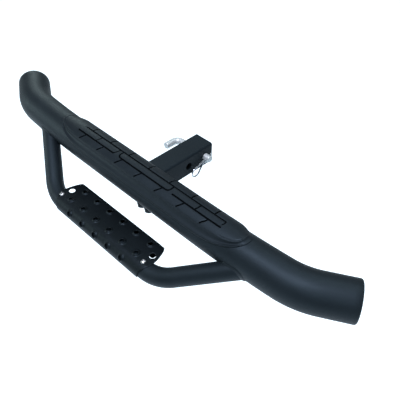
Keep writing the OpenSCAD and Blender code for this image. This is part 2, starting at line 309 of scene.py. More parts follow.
def metal(name, dark, light, rough, scratch=(40, 900, 900), depth=0.00004, metallic=1.0):
    m, nt, bsdf, vec = node_mat(name)
    mp = nt.nodes.new("ShaderNodeMapping")
    mp.inputs["Scale"].default_value = scratch
    nt.links.new(vec, mp.inputs["Vector"])
    lines = noise(nt, mp.outputs["Vector"], 1, 3)
    cloud = noise(nt, vec, 160, 3)
    col = ramp(nt, cloud, [(0.3, dark), (0.7, light)])
    nt.links.new(col, bsdf.inputs["Base Color"])
    r = math_node(nt, "ADD", remap(nt, cloud, rough - 0.05, rough + 0.07), remap(nt, lines, -0.03, 0.05))
    nt.links.new(r, bsdf.inputs["Roughness"])
    bsdf.inputs["Metallic"].default_value = metallic
    bump(nt, bsdf, lines, 0.35, depth)
    return m


M_COAT = coat("powder_coat", (0.0040, 0.0065, 0.0085), (0.0075, 0.0115, 0.0145), 0.50, 1300, spec=0.35)
M_TRAY = coat("tray_coat", (0.0010, 0.0016, 0.0022), (0.0022, 0.0034, 0.0044), 0.44, 1500, spec=0.30)
# painted light: a lighter copy of the powder coat for the shank and saddle block, standing in for the light on their
# faces
M_SHANK_PAINTED_LIGHT = coat("shank_coat_painted_light", (0.0050, 0.0084, 0.0112), (0.0082, 0.0130, 0.0166), 0.55, 1300, spec=0.20)
M_CAP = coat("cap_plastic", (0.0080, 0.0120, 0.0145), (0.0120, 0.0170, 0.0200), 0.38, 900, spec=0.45, depth=0.00015)
M_PAD = coat("pad_plastic", (0.0060, 0.0088, 0.0112), (0.0095, 0.0135, 0.0168), 0.48, 2200, spec=0.28, depth=0.00012)
# painted shade: a darker copy of the pad's plastic for the groove floors and walls, standing in for the shade inside
# them
M_GROOVE_PAINTED_SHADE = coat("pad_groove_painted_shade", (0.0012, 0.0019, 0.0025), (0.0022, 0.0032, 0.0040), 0.70, 2200, spec=0.06, depth=0.0001)
M_WELD = coat("weld_coat", (0.0036, 0.0058, 0.0074), (0.0070, 0.0102, 0.0124), 0.42, 1700, spec=0.30)
M_BLACK = coat("black_bolt", (0.0022, 0.0032, 0.0040), (0.0050, 0.0066, 0.0080), 0.38, 1600, spec=0.30)
M_ZINC = metal("zinc_plate", (0.44, 0.48, 0.51), (0.66, 0.70, 0.73), 0.24)
M_PIN = metal("zinc_pin", (0.52, 0.58, 0.58), (0.65, 0.71, 0.71), 0.46, metallic=0.5)
M_SCREW = metal("stainless", (0.62, 0.63, 0.64), (0.82, 0.83, 0.84), 0.26, scratch=(700, 700, 60))
M_NYLON = coat("nylon", (0.55, 0.55, 0.52), (0.68, 0.68, 0.65), 0.5, 600, spec=0.4)

for n, m in {
    "hitch_shank": M_SHANK_PAINTED_LIGHT, "tray_screws": M_SCREW, "tray_rivet_nuts": M_ZINC,
    "saddle_block": M_SHANK_PAINTED_LIGHT, "saddle_bolts": M_BLACK, "saddle_washers": M_BLACK,
    "saddle_nuts": M_BLACK, "pad_clips": M_NYLON,
}.items():
    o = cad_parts[n]
    o.data.materials.clear()
    o.data.materials.append(m)


# ------------------------------------------------------------------ step tube
def tube_stations():
    a = list(np.linspace(0, HALF, 10)) + list(HALF + np.linspace(0, L1, 34)[1:])
    a += list(HALF + L1 + np.linspace(0, L2, 30)[1:]) + list(HALF + L1 + L2 + np.linspace(0, TAIL, 6)[1:-1])
    return np.array(a)


st = tube_stations()
stations = np.concatenate([-st[::-1][:-1], st])
N = 128
th_ring = np.arange(N) * 360.0 / N


def tube_ring(s, r):
    return on_tube(np.full(N, s), th_ring, r)


rings = [tube_ring(-S_END, R - 0.5), tube_ring(-S_END + 0.15, R - 0.15), tube_ring(-S_END + 0.5, R)]
rings += [tube_ring(s, R) for s in stations]
rings += [tube_ring(S_END - 0.5, R), tube_ring(S_END - 0.15, R - 0.15), tube_ring(S_END, R - 0.5)]
rings += [tube_ring(S_END, R - WALL)] + [tube_ring(s, R - WALL) for s in stations[::-1]]
rings += [tube_ring(-S_END, R - WALL)]
v, f = rings_closed(rings)
f = [q[::-1] for q in f]
make("main_tube_skin", v, f, "frame", M_COAT, 35, ("main_tube",))

# end caps: domed disc with a rolled rim and a shallow ring moulded in it
cap_profile = [(0, 2.2), (12, 2.2), (24, 2.15), (29.5, 2.05), (30.2, 1.75), (31.2, 1.6), (32.2, 1.75),
               (33, 2.25), (34.2, 2.5), (35.6, 2.4), (36.6, 1.95), (37.3, 1.25), (37.7, 0.5), (37.75, 0.02),
               (35.4, 0.0), (35.4, -10), (34.6, -14), (32.6, -14), (32.6, -1), (0, -1)]
for name, sg in (("end_cap_left", -1), ("end_cap_right", 1)):
    x, y, h = path(S_END * sg)
    ax = np.array([math.cos(float(h)), math.sin(float(h)), 0.0]) * sg
    v, f = lathe(cap_profile, 96, (float(x), float(y), TZ), ax)
    f = [q[::-1] for q in f] if sg < 0 else [q[::-1] for q in f]
    make(name + "_moulded", v, f, "frame", M_CAP, 32, (name,))

# dense polyline of the step tube's centreline, for coping and welds
_ss = np.linspace(-S_END, S_END, 2400)
_px, _py, _ = path(_ss)
CENTRE = np.stack([_px, _py, np.full_like(_px, TZ)], -1)


def tube_gap(p):
    """Distance from points to the step tube's outer skin."""
    return poly_dist3(p) - R


def poly_dist3(p):
    p = np.atleast_2d(p)
    d = np.linalg.norm(p[:, None, :2] - CENTRE[None, :, :2], axis=2)
    i = d.argmin(1)
    return np.sqrt(d.min(1) ** 2 + (p[:, 2] - TZ) ** 2)


# ------------------------------------------------------------------ loop tube
tilt = rad(TILT)
EW = np.array([0, -math.cos(tilt), -math.sin(tilt)])   # down the slope
EX = np.array([1.0, 0, 0])
EN = np.cross(EX, EW)                                   # across the slope
LO = np.array([0, TY - 0.3, TZ + 2.5])
LA = rad(LOOP_A)
LT = LOOP_BEND * math.tan(LA / 2)
LOOP_X = LOOP_RUN + LT
LOOP_LEG_X = LOOP_X + LOOP_W / math.tan(LA)
LOOP_Y = LO[1] + EW[1] * LOOP_W
LOOP_Z = LO[2] + EW[2] * LOOP_W


def loop_pt(x, w):
    return LO + EX * x + EW * w


def loop_line():
    """Right half of the loop's centreline: points and directions (x, w)."""
    pts, dirs = [], []
    for x in np.linspace(0, LOOP_X - LT, 10)[:-1]:
        pts.append((x, LOOP_W)); dirs.append((1.0, 0.0))
    for a in np.linspace(0, LA, 26):
        pts.append((LOOP_X - LT + LOOP_BEND * math.sin(a), LOOP_W - LOOP_BEND * (1 - math.cos(a))))
        dirs.append((math.cos(a), -math.sin(a)))
    leg = math.hypot(LOOP_W, LOOP_LEG_X - LOOP_X) - LT
    x0, w0 = pts[-1]
    for k in np.linspace(0, leg - 62, 10)[1:]:
        pts.append((x0 + k * math.cos(LA), w0 - k * math.sin(LA)))
        dirs.append((math.cos(LA), -math.sin(LA)))
    return pts, dirs


NL = 80
pts, dirs = loop_line()


def loop_ring(x, w, dx, dw, r):
    return ring_at(loop_pt(x, w), EX * dx + EW * dw, EN, r, NL)


def cope(ring, d):
    """Runs each point of a ring along d until it meets the step tube."""
    lo, hi = np.zeros(len(ring)), np.full(len(ring), 90.0)
    for _ in range(40):
        mid = (lo + hi) / 2
        out = tube_gap(ring + mid[:, None] * d) > 0
        lo, hi = np.where(out, mid, lo), np.where(out, hi, mid)
    return ring + lo[:, None] * d


def loop_half_rings(r, sg):
    out = []
    for (x, w), (dx, dw) in zip(pts, dirs):
        c = loop_pt(sg * x, w)
        t = EX * (sg * dx) + EW * dw
        t0 = EX * dx * sg + EW * dw
        a = EN
        b = np.cross(t0 / np.linalg.norm(t0), a) * sg
        g = np.arange(NL) * 2 * np.pi / NL
        out.append(c + r * (np.cos(g)[:, None] * a + np.sin(g)[:, None] * b))
    d = EX * (sg * math.cos(LA)) - EW * math.sin(LA)
    last = out[-1]
    end = cope(last, d)
    for k in (0.5, 0.8, 0.93, 1.0):
        out.append(last + (end - last) * k)
    return out


outer_r, outer_l = loop_half_rings(LOOP_R, 1), loop_half_rings(LOOP_R, -1)
inner_r, inner_l = loop_half_rings(LOOP_R - LOOP_WALL, 1), loop_half_rings(LOOP_R - LOOP_WALL, -1)
rings = outer_l[::-1] + outer_r[1:] + inner_r[::-1] + inner_l[1:]
v, f = rings_closed(rings)
make("loop_tube_skin", v, f, "frame", M_COAT, 35, ("loop_tube",))


# ------------------------------------------------------------------ weld beads
def bead(name, line, n1, n2, r, closed, body="frame", mat=None, pitch=3.1, seed=3):
    """Rippled fillet along a line; n1, n2 are the directions of its two legs."""
    rng = np.random.default_rng(seed)
    seg = np.linalg.norm(np.diff(line, axis=0), axis=1)
    s = np.concatenate([[0], np.cumsum(seg)])
    total = s[-1] + (np.linalg.norm(line[0] - line[-1]) if closed else 0)
    n = int(total / 0.55)
    u = np.linspace(0, total, n, endpoint=not closed)
    src = np.concatenate([line, line[:1]]) if closed else line
    ss = np.concatenate([s, [total]]) if closed else s
    P = np.stack([np.interp(u, ss, src[:, k]) for k in range(3)], -1)
    A = np.stack([np.interp(u, ss, (np.concatenate([n1, n1[:1]]) if closed else n1)[:, k]) for k in range(3)], -1)
    B = np.stack([np.interp(u, ss, (np.concatenate([n2, n2[:1]]) if closed else n2)[:, k]) for k in range(3)], -1)
    A /= np.linalg.norm(A, axis=1)[:, None]
    B /= np.linalg.norm(B, axis=1)[:, None]
    cycles = max(1, round(total / pitch))
    ph = (u / total * cycles) % 1.0
    wob = 1 + 0.06 * np.sin(u / total * 2 * np.pi * 5 + 1) + 0.04 * np.sin(u / total * 2 * np.pi * 11 + 2)
    rip = 0.86 + 0.17 * np.sqrt(np.clip(1 - (2 * ph - 1) ** 2, 0, 1))
    rr = r * wob
    m = 9
    rings = []
    sunk = 0.25
    for i in range(len(u)):
        pts_ = []
        for j in range(m):
            t = j / (m - 1)
            d = A[i] * math.cos(t * math.pi / 2) + B[i] * math.sin(t * math.pi / 2)
            edge = 1 - (2 * t - 1) ** 2
            k = rr[i] * (1 - 0.22 * edge * (1 - rip[i] * 0.9) * 2)
            # flatter than a quarter circle: pull the middle in towards the chord
            k *= 1 - 0.10 * edge + 0.16 * (rip[i] - 0.95) * edge
            pts_.append(P[i] + d * k)
        pts_.append(P[i] - (A[i] + B[i]) * sunk)
        rings.append(np.array(pts_))
    if closed:
        v, f = rings_closed(rings)
    else:
        v, f = rings_capped(rings)
    # outward faces: test one face against the line
    c = v[list(f[3])].mean(0)
    nrm = np.cross(v[f[3][1]] - v[f[3][0]], v[f[3][2]] - v[f[3][0]])
    if nrm @ (c - P[0]) < 0:
        f = [q[::-1] for q in f]
    return make(name, v, f, body, mat or M_WELD, 60)


for name, sg, rg in (("weld_loop_left", -1, outer_l), ("weld_loop_right", 1, outer_r)):
    line = rg[-1]
    x, y, h = path(np.interp(line[:, 0], CENTRE[:, 0], _ss))
    n_tube = line - np.stack([x, y, np.full_like(x, TZ)], -1)
    n_tube /= np.linalg.norm(n_tube, axis=1)[:, None]
    d = -(EX * (sg * math.cos(LA)) - EW * math.sin(LA))
    n_leg = line - rg[-1].mean(0)
    n_leg = n_leg - (n_leg @ d)[:, None] * d
    n_leg /= np.linalg.norm(n_leg, axis=1)[:, None]
    # legs of the fillet: one lies along the loop's skin, one along the step tube's
    along_leg = np.tile(d, (len(line), 1))
    along_tube = n_leg - (n_leg * n_tube).sum(1)[:, None] * n_tube
    along_tube /= np.linalg.norm(along_tube, axis=1)[:, None]
    bead(name, line, along_leg, along_tube, 4.2, True, seed=5)

# shank to step tube: over the top and down both sides
hs = 25.4
line, n1, n2 = [], [], []
z_top = 25.4
corner = 5.0


def shank_outline():
    out = []
    for z in np.linspace(-20, hs - corner, 12)[:-1]:
        out.append((hs, z, 1, 0))
    for a in np.linspace(0, 90, 7):
        out.append((hs - corner + corner * math.cos(rad(a)), hs - corner + corner * math.sin(rad(a)),
                    math.cos(rad(a)), math.sin(rad(a))))
    for x in np.linspace(hs - corner, -(hs - corner), 14)[1:-1]:
        out.append((x, hs, 0, 1))
    for a in np.linspace(90, 180, 7):
        out.append((-(hs - corner) + corner * math.cos(rad(a)), hs - corner + corner * math.sin(rad(a)),
                    math.cos(rad(a)), math.sin(rad(a))))
    for z in np.linspace(hs - corner, -20, 12)[1:]:
        out.append((-hs, z, -1, 0))
    return out


for x, z, nx, nz in shank_outline():
    dz = z - TZ
    y = TY + math.sqrt(max(R * R - dz * dz, 0.01))
    nt_ = np.array([0, (y - TY) / R, dz / R])
    out = np.array([nx, 0, nz])
    at = out - (out @ nt_) * nt_
    line.append((x, y, z))
    n1.append((0, 1, 0))
    n2.append(at / np.linalg.norm(at))
bead("weld_shank", np.array(line), np.array(n1, float), np.array(n2), 4.6, False, seed=9)


# ------------------------------------------------------------------ tread pad
XC_O, HL_O, A_O, TH_O = 23.0, 267.0, 105.0, 69.0
XC_I, HL_I, A_I, TH_F, TH_B, P_I = 22.3, 258.2, 56.0, 38.0, -46.0, 2.4
MM = 40.0 * math.pi / 180          # mm of arc to a degree of th
H_TOP, H_VALLEY, H_RIM = 4.7, 1.3, 3.1
GD = 2.6                            # groove depth
TH1, TH2 = -6.0, 16.0               # the two long grooves


def outline(xc, hl, a, tf, tb, p, n):
    out = []
    for k in range(n):
        t = 2 * math.pi * k / n
        c, s = math.cos(t), math.sin(t)
        ex = math.copysign(abs(c) ** (2 / p), c)
        ey = math.copysign(abs(s) ** (2 / p), s)
        out.append((xc + (hl - a) * np.sign(c) * min(1, abs(c) * 1e6) + a * ex, ey * (tf if s > 0 else -tb)))
    pts_ = np.array(out)
    # resample by length so that the straight sides get points too
    q = pts_ * [1, MM]
    q = np.concatenate([q, q[:1]])
    d = np.concatenate([[0], np.cumsum(np.linalg.norm(np.diff(q, axis=0), axis=1))])
    u = np.linspace(0, d[-1], n, endpoint=False)
    return np.stack([np.interp(u, d, q[:, 0]), np.interp(u, d, q[:, 1])], -1)


# in (x, arc) with arc = th * MM
OUT = outline(XC_O, HL_O, A_O, TH_O, -TH_O, 2.0, 620)
INN = outline(XC_I, HL_I, A_I, TH_F, TH_B, P_I, 620)


def smooth(t):
    t = np.clip(t, 0, 1)
    return t * t * (3 - 2 * t)


# flank profile: share of the way out, height over the tube
FL_F = np.array([0, 0.03, 0.07, 0.13, 0.20, 0.30, 0.42, 0.52, 0.62, 0.72, 0.80, 0.86, 0.91, 0.95, 0.98, 1.0])
FL_H = np.array([4.7, 4.55, 3.9, 2.6, 1.6, 1.0, 0.8, 0.95, 1.7, 2.7, 3.25, 3.35, 3.1, 2.4, 1.4, 0.25])
FL_H2 = np.array([4.7, 4.6, 4.3, 3.8, 3.3, 2.8, 2.3, 2.0, 1.8, 1.65, 1.5, 1.35, 1.15, 0.9, 0.6, 0.2])

JX = [27.5 + 59.2 * k for k in range(-3, 4)]
grooves = []                        # (polyline in (x, arc), half width, depth)


def G(points, hw=1.15, depth=GD):
    grooves.append((np.array([(x, th * MM) for x, th in points], float), hw, depth))


G([(-169, TH1), (231, TH1)], 1.5, 2.4)
G([(-178, TH2), (-62, TH2)], 1.5, 3.2)
G([(112.5, TH2), (232, TH2)], 1.5, 3.2)
G([(232.5, -5), (233, 2), (231, 8)], 1.1, 1.4)
# the bare plate in the middle: front groove with a rounded end at either side
G([(-44.5, TH1), (-46.2, -1), (-47, 5), (-46.6, 9.5), (-44.6, 13), (-41, 15.3), (-36, TH2), (93, TH2),
   (97.6, 15), (100.4, 12), (101.6, 7), (101.6, 1), (101.2, TH1)], 1.5, 3.0)
G([(-55.5, TH1), (-57.5, 5), (-62, TH2)], 1.2)
for x in JX:
    G([(x - 0.5, TH1), (x - 1.5, -22), (x - 3.0, -39)], 1.35)
    G([(x, TH2), (x - 4.6, 25.5), (x - 10.2, 35.5)], 1.3, 3.0)
G([(-115, TH1), (-117, 5), (-121, TH2)], 1.35)
G([(173, TH1), (172, 5), (169.5, TH2)], 1.35)


def pad_height(q):
    """Height over the tube at flat points q = (x, arc)."""
    ins = inside(q, INN)
    din = poly_dist(q, INN)
    dout = poly_dist(q, OUT)
    fr = np.where(ins, 0.0, din / np.maximum(din + dout, 1e-6))
    w = smooth((q[:, 1] / MM - 12) / 26)
    h = w * np.interp(fr, FL_F, FL_H) + (1 - w) * np.interp(fr, FL_F, FL_H2)
    # the platform's top is flat at H_TOP; its edge is rounded over only by the flank profile
    h = np.where(ins, H_TOP - 0.0 * din, h)
    # at the back of either end the pad thins out into the tube
    ease = smooth((np.abs(q[:, 0] - XC_I) - 224) / 30) * (1 - smooth((q[:, 1] / MM + 28) / 30))
    h = h - np.maximum(h - 0.25, 0) * 0.62 * ease
    cut = np.zeros(len(q))
    for ln, hw, dp in grooves:
        lo, hi = ln.min(0) - hw - 1, ln.max(0) + hw + 1
        m = (q[:, 0] > lo[0]) & (q[:, 0] < hi[0]) & (q[:, 1] > lo[1]) & (q[:, 1] < hi[1]) & ins
        if m.any():
            d = poly_dist(q[m], ln, False)
            c = dp * (1 - smooth((d - hw * 0.62) / (hw * 0.55)))
            cut[m] = np.maximum(cut[m], c)
    # shallow border line just inside the platform's edge
    brd = 0.45 * (1 - smooth((np.abs(din - 2.6) - 0.25) / 0.6)) * ins
    end = smooth((np.abs(q[:, 0] - 30) - 205) / 8)
    cut = np.maximum(cut, brd * end)
    return h - cut


def groove_share(q):
    """0 on the pad's face, 1 on a groove's floor."""
    r = np.zeros(len(q))
    for ln, hw, dp in grooves:
        d = poly_dist(q, ln, False)
        r = np.maximum(r, 1 - smooth((d - hw * 0.62) / (hw * 0.55)))
    return r * inside(q, INN)


def pad_points():
    pts_, loops, lines = [], [], []

    def add(arr):
        k = len(pts_)
        pts_.extend([(float(a), float(b)) for a, b in arr])
        return list(range(k, k + len(arr)))

    loops.append(add(OUT))
    # rings between the platform's edge and the outer edge
    d_all = OUT
    for fr in FL_F[1:-1][::-1]:
        # walk from each outer point to its nearest inner point
        near = INN[np.argmin(((d_all[:, None] - INN[None]) ** 2).sum(2), 1)]
        loops_pts = near + (d_all - near) * fr
        add(loops_pts)
    loops.append(add(INN))
    # six rows just inside the platform's edge, for its border line
    nrm = np.roll(INN, -1, 0) - np.roll(INN, 1, 0)
    nrm = np.stack([-nrm[:, 1], nrm[:, 0]], -1)
    nrm /= np.linalg.norm(nrm, axis=1)[:, None]
    for off in (0.6, 1.7, 2.3, 2.9, 3.5, 4.4):
        add((INN + nrm * off)[::2])
    for ln, hw, dp in grooves:
        seg = np.linalg.norm(np.diff(ln, axis=0), axis=1)
        s = np.concatenate([[0], np.cumsum(seg)])
        n = max(3, int(s[-1] / 3.2))
        u = np.linspace(0, s[-1], n)
        c = np.stack([np.interp(u, s, ln[:, 0]), np.interp(u, s, ln[:, 1])], -1)
        t = np.gradient(c, axis=0)
        t /= np.linalg.norm(t, axis=1)[:, None]
        nn = np.stack([-t[:, 1], t[:, 0]], -1)
        for off in (-1.22, -1.05, -0.85, -0.62, 0.0, 0.62, 0.85, 1.05, 1.22):
            lines.append(add(c + nn * off * hw))
        for e, tt in ((c[0], -t[0]), (c[-1], t[-1])):
            for off in (0.62, 0.85, 1.05, 1.22):
                for a in np.linspace(-75, 75, 6):
                    ca, sa = math.cos(rad(a)), math.sin(rad(a))
                    d = np.array([tt[0] * ca - tt[1] * sa, tt[0] * sa + tt[1] * ca])
                    add([e + d * off * hw])
    # field of plain points
    gx = np.arange(XC_I - HL_I, XC_I + HL_I, 4.0)
    gy = np.arange(TH_B, TH_F, 2.6) * MM
    g = np.array([(x, y) for x in gx for y in gy])
    g = g[inside(g, INN)]
    base = np.array(pts_)
    keep = np.ones(len(g), bool)
    for k in range(0, len(g), 1000):
        d = ((g[k:k + 1000, None] - base[None]) ** 2).sum(2).min(1)
        keep[k:k + 1000] = d > 1.6 ** 2
    add(g[keep])
    return pts_, loops, lines


pp, lp, ln_ = pad_points()
v2, f2 = triangulate(pp, lp, ln_)
cen = v2[f2].mean(1)
f2 = f2[inside(cen, OUT)]
hh = pad_height(v2)


def pad_top(q):
    return on_tube(q[:, 0], q[:, 1] / MM, R + pad_height(q))


def pad_under(q):
    return on_tube(q[:, 0], q[:, 1] / MM, R + 0.05)


v, f = slab(v2, f2, pad_top, pad_under)
c = v[f[0][0]]
nrm = np.cross(v[f[0][1]] - v[f[0][0]], v[f[0][2]] - v[f[0][0]])
if nrm[2] < 0:
    f = [q[::-1] for q in f]
pad = make("step_pad_moulded", v, f, "frame", M_PAD, 50, ("step_pad",))
# the grooves' floors and walls get a darker material: painted shade in the recesses
pad.data.materials.append(M_GROOVE_PAINTED_SHADE)
dark = groove_share(v2[f2].mean(1)) > 0.25
if len(pad.data.polygons) == len(f):
    for i in np.nonzero(dark)[0]:
        pad.data.polygons[int(i)].material_index = 1


# ------------------------------------------------------------------ tray
LAP = 0.05
PLATE_Z = LOOP_Z + LOOP_R + LAP
BACK_Y = TY - 50.7
FLANGE, LIP = 22.0, 24.0
BR = 3.0                                  # outside radius of the bends
ZT = PLATE_Z + SHEET
ZB = PLATE_Z - FLANGE
S0 = LIP - BR
S1 = S0 + BR * math.pi / 2
S2 = S1 + (ZT - ZB - 2 * BR)
S3 = S2 + BR * math.pi / 2
S4 = S3 + (BACK_Y - BR - LOOP_Y)
RO = LOOP_R + LAP + SHEET
S5 = S4 + RO * rad(132)


def tray_surface(x, t):
    """Outer skin point and normal; t runs from the lip under the back to the front."""
    y, z, ny, nz = (np.empty_like(t) for _ in range(4))
    m = t <= S0
    y[m], z[m], ny[m], nz[m] = BACK_Y - LIP + t[m], ZB, 0, -1
    m = (t > S0) & (t <= S1)
    a = (t[m] - S0) / BR
    y[m], z[m], ny[m], nz[m] = BACK_Y - BR + BR * np.sin(a), ZB + BR - BR * np.cos(a), np.sin(a), -np.cos(a)
    m = (t > S1) & (t <= S2)
    y[m], z[m], ny[m], nz[m] = BACK_Y, ZB + BR + t[m] - S1, 1, 0
    m = (t > S2) & (t <= S3)
    a = (t[m] - S2) / BR
    y[m], z[m], ny[m], nz[m] = BACK_Y - BR + BR * np.cos(a), ZT - BR + BR * np.sin(a), np.cos(a), np.sin(a)
    m = (t > S3) & (t <= S4)
    y[m], z[m], ny[m], nz[m] = BACK_Y - BR - (t[m] - S3), ZT, 0, 1
    m = t > S4
    a = (t[m] - S4) / RO
    y[m], z[m], ny[m], nz[m] = LOOP_Y - RO * np.sin(a), LOOP_Z + RO * np.cos(a), -np.sin(a), np.cos(a)
    return np.stack([x, y, z], -1), np.stack([np.zeros_like(x), ny, nz], -1)


def t_of_y(y):
    return S3 + (BACK_Y - BR - y)


def t_of_a(a):
    return S4 + RO * rad(a)


low = [(115, 0), (119, 0.8), (120, 4.5), (120, S3 - 4.4), (120.4, S3 - 2.6), (122.2, S3 - 1.9), (125, S3 - 1.8)]
low_left = [(131, 0), (132.4, 0.2), (132.8, 1.2), (132.8, S1 + 6), (131.6, S3 - 5), (131, S3 - 2.4), (131, S3 - 1.9), (131.05, S3 - 1.8)]
high = [(131.2, S3 - 1.8), (134.6, t_of_y(TY - 56.4)), (137.4, t_of_y(TY - 61.6)), (141, t_of_y(TY - 72)),
        (143.5, t_of_y(TY - 80.7)), (144.9, t_of_y(TY - 90.5)), (144.6, S4 - 2), (142.8, t_of_a(7)),
        (140.9, t_of_a(15)), (139.8, t_of_a(27)), (138.2, t_of_a(40)), (135.2, t_of_a(55)), (132.6, t_of_a(68)),
        (132, t_of_a(82)), (131.8, S5 - 14), (129, S5 - 5), (121, S5 - 0.8), (112, S5)]


def chaikin(p, n):
    p = np.array(p, float)
    for _ in range(n):
        q = [p[0]]
        for a, b in zip(p[:-1], p[1:]):
            q += [a * 0.75 + b * 0.25, a * 0.25 + b * 0.75]
        q.append(p[-1])
        p = np.array(q)
    return p


right = np.concatenate([chaikin(low, 2), chaikin(high, 2)])
left = np.concatenate([chaikin(low_left, 2), chaikin(high, 2)])[::-1] * [-1, 1]
raw = np.concatenate([right, left])
q = np.concatenate([raw, raw[:1]])
d = np.concatenate([[0], np.cumsum(np.linalg.norm(np.diff(q, axis=0), axis=1))])
n_out = 640
u = np.linspace(0, d[-1], n_out, endpoint=False)
TRAY = np.stack([np.interp(u, d, q[:, 0]), np.interp(u, d, q[:, 1])], -1)

punched = [(42 * i, t_of_y(TY - 64.5)) for i in np.arange(-2.5, 3)]
punched += [(42 * i - 1.5, t_of_y(TY - 99.5)) for i in np.arange(-2.5, 3)]
punched += [(42 * i - 0.8, t_of_a(62)) for i in range(-2, 3)]
punched = np.array(punched)
plain = [(s * 130, t_of_y(TY - 82), 6.8) for s in (-1, 1)] + [(x, S4, 3.3) for x in (-135, 129)]
COL_R = np.array([5.0, 5.25, 5.6, 6.0, 6.5, 7.0, 7.6, 8.3, 9.2])
COL_H = np.array([1.75, 2.1, 2.25, 2.15, 1.75, 1.2, 0.6, 0.2, 0.0])


def tray_points():
    pts_, loops = [], []

    def add(arr):
        k = len(pts_)
        pts_.extend([(float(a), float(b)) for a, b in arr])
        return list(range(k, k + len(arr)))

    loops.append(add(TRAY))
    nrm = np.roll(TRAY, -1, 0) - np.roll(TRAY, 1, 0)
    nrm = np.stack([-nrm[:, 1], nrm[:, 0]], -1)
    nrm /= np.linalg.norm(nrm, axis=1)[:, None]
    if not inside(TRAY[:1] + nrm[:1], TRAY)[0]:
        nrm = -nrm
    loops.append(add(TRAY + nrm * 0.4))
    add((TRAY + nrm * 1.6)[::2])
    for cx, ct in punched:
        for r in COL_R:
            g = np.arange(40) * 2 * np.pi / 40
            idx = add(np.stack([cx + r * np.cos(g), ct + r * np.sin(g)], -1))
            loops.append(idx)
    for cx, ct, r in plain:
        for rr in (r, r + 0.4, r + 1.2):
            g = np.arange(48) * 2 * np.pi / 48
            loops.append(add(np.stack([cx + rr * np.cos(g), ct + rr * np.sin(g)], -1)))
    ts = np.concatenate([np.linspace(0.8, S0, 6), np.linspace(S0, S1, 7)[1:], np.linspace(S1, S2, 5)[1:],
                         np.linspace(S2, S3, 7)[1:], np.linspace(S3, S4, 15)[1:],
                         np.linspace(S4, S5 - 0.8, 34)[1:]])
    gx = np.arange(-146, 146.1, 3.65)
    g = np.array([(x, t) for x in gx for t in ts])
    g = g[inside(g, TRAY)]
    ok = poly_dist(g, TRAY) > 1.9
    for cx, ct in punched:
        ok &= np.hypot(g[:, 0] - cx, g[:, 1] - ct) > 9.9
    for cx, ct, r in plain:
        ok &= np.hypot(g[:, 0] - cx, g[:, 1] - ct) > r + 1.9
    add(g[ok])
    return pts_, loops


pp, lp = tray_points()
v2, f2 = triangulate(pp, lp)
cen = v2[f2].mean(1)
ok = inside(cen, TRAY)
for cx, ct in punched:
    ok &= np.hypot(cen[:, 0] - cx, cen[:, 1] - ct) > 4.99
for cx, ct, r in plain:
    ok &= np.hypot(cen[:, 0] - cx, cen[:, 1] - ct) > r - 0.01
f2 = f2[ok]


def tray_offset(q):
    h = np.zeros(len(q))
    for cx, ct in punched:
        d = np.hypot(q[:, 0] - cx, q[:, 1] - ct)
        m = d < 9.2
        h[m] = np.maximum(h[m], np.interp(d[m], COL_R, COL_H))
    return h


def edge_drop(q):
    """Rounds the sheet's cut edges."""
    d = poly_dist(q, TRAY)
    e = 0.35 * (1 - smooth(d / 0.4))
    for cx, ct, r in plain:
        e = np.maximum(e, 0.35 * (1 - smooth((np.hypot(q[:, 0] - cx, q[:, 1] - ct) - r) / 0.4)))
    return e


def tray_top(q):
    p, n = tray_surface(q[:, 0], q[:, 1])
    return p + n * (tray_offset(q) - edge_drop(q))[:, None]


def tray_under(q):
    p, n = tray_surface(q[:, 0], q[:, 1])
    # the underside follows the raised collars round the punched holes, at 0.8 of their height
    return p + n * (tray_offset(q) * 0.8 - SHEET + 0.06 + edge_drop(q))[:, None]


v, f = slab(v2, f2, tray_top, tray_under)
i = int(np.argmax([abs(v2[t].mean(0)[1] - (S3 + S4) / 2) < 5 for t in f2]))
nrm = np.cross(v[f[i][1]] - v[f[i][0]], v[f[i][2]] - v[f[i][0]])
if nrm[2] < 0:
    f = [q[::-1] for q in f]
make("step_tray_pressed", v, f, "frame", M_TRAY, 42, ("step_tray",))


# ------------------------------------------------------------------ pin
def sweep(name, P, up, r, n, body, mat, repl, sharp=50, tips=()):
    """Round bar along points P. tips: radii of extra rings at each end."""
    P = np.asarray(P, float)
    T = np.gradient(P, axis=0)
    T /= np.linalg.norm(T, axis=1)[:, None]
    rings = []
    for back, rr in tips:
        rings.append(ring_at(P[0] + T[0] * back, T[0], up, rr, n))
    start = 1 if tips else 0
    stop = len(P) - 1 if tips else len(P)
    for i in range(start, stop):
        rings.append(ring_at(P[i], T[i], up, r, n))
    for back, rr in tips[::-1]:
        rings.append(ring_at(P[-1] - T[-1] * back, T[-1], up, rr, n))
    v, f = rings_capped(rings)
    f = [q[::-1] for q in f]
    return make(name, v, f, body, mat, sharp, repl)


P = [(41.5, 50, 0)] + [(x, 50, 0) for x in np.linspace(37, -48.9, 24)]
for a in np.linspace(0, 90, 24):
    P.append((-49 - 14 * math.sin(rad(a)), 36 + 14 * math.cos(rad(a)), 0))
P += [(-63, y, 0) for y in np.linspace(35.9, 18.5, 6)] + [(-63, 14, 0)]
sweep("hitch_pin_bar", P, np.array([0, 0, 1.0]), PIN_R, 64, "pin", M_PIN, ("hitch_pin",), 40,
      tips=((0.0, PIN_R - 2.1), (0.25, PIN_R - 1.5), (0.8, PIN_R - 0.8), (1.6, PIN_R - 0.25), (2.6, PIN_R)))

